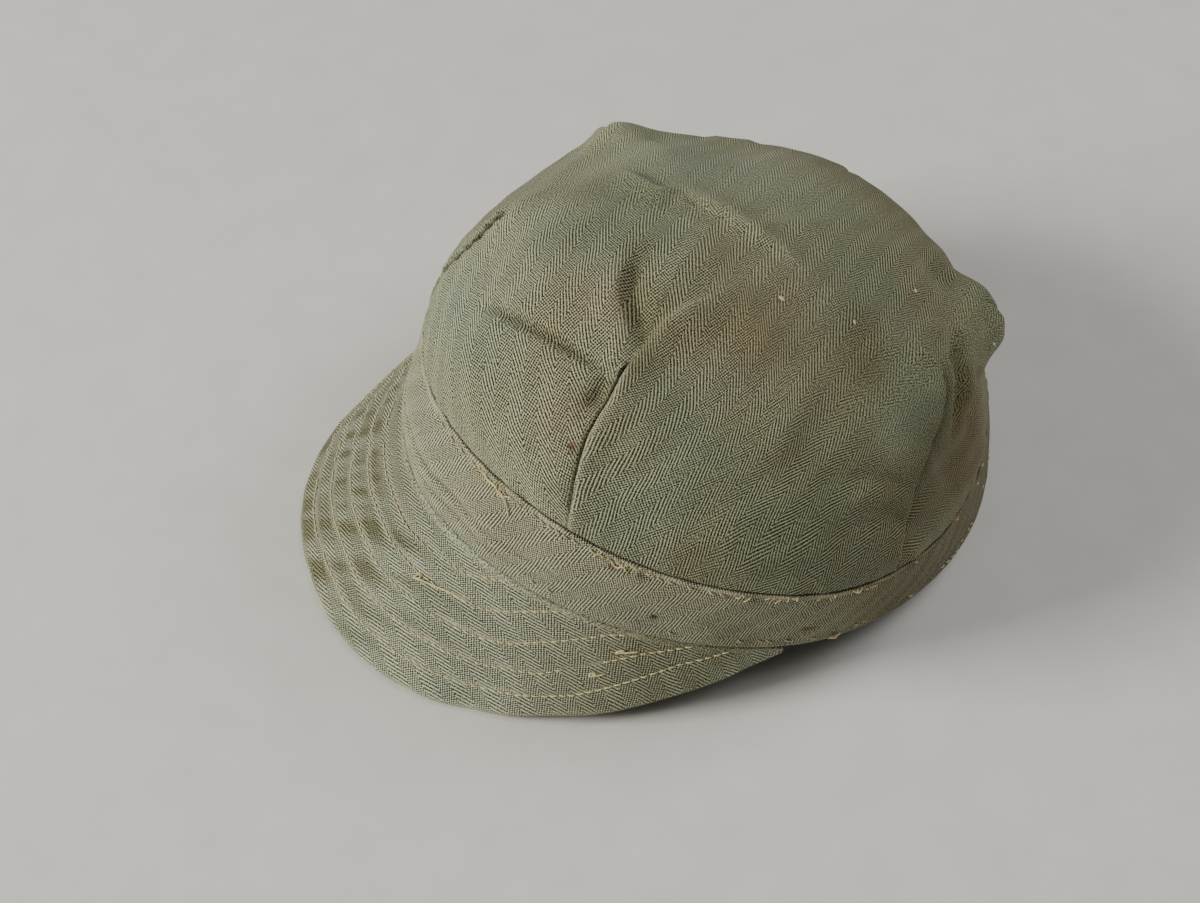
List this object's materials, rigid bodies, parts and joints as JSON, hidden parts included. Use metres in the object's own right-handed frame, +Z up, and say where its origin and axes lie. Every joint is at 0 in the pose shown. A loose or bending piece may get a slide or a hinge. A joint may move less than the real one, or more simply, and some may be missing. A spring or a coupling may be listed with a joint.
{
  "type": "utility cap",
  "caption": "Soft unlined cloth cap with a darted crown, a sewn headband and a short stitched visor, worn to shade the eyes.",
  "frame": {"origin": "on the surface the cap lies on, under the middle of its bounding box", "axes": "+Z up, the visor points to -Y, +X is the wearer's left side"},
  "size_m": [0.1846, 0.2214, 0.1063],
  "materials": {
    "crown_twill": "faded sage green herringbone cotton twill",
    "band_twill": "faded sage green herringbone cotton twill, worn along the seam",
    "visor_twill": "faded sage green herringbone cotton twill with rows of tan stitching"
  },
  "bodies": {
    "root": {"crown": "crown_twill", "band": "band_twill", "visor": "visor_twill"}
  },
  "joints": []
}
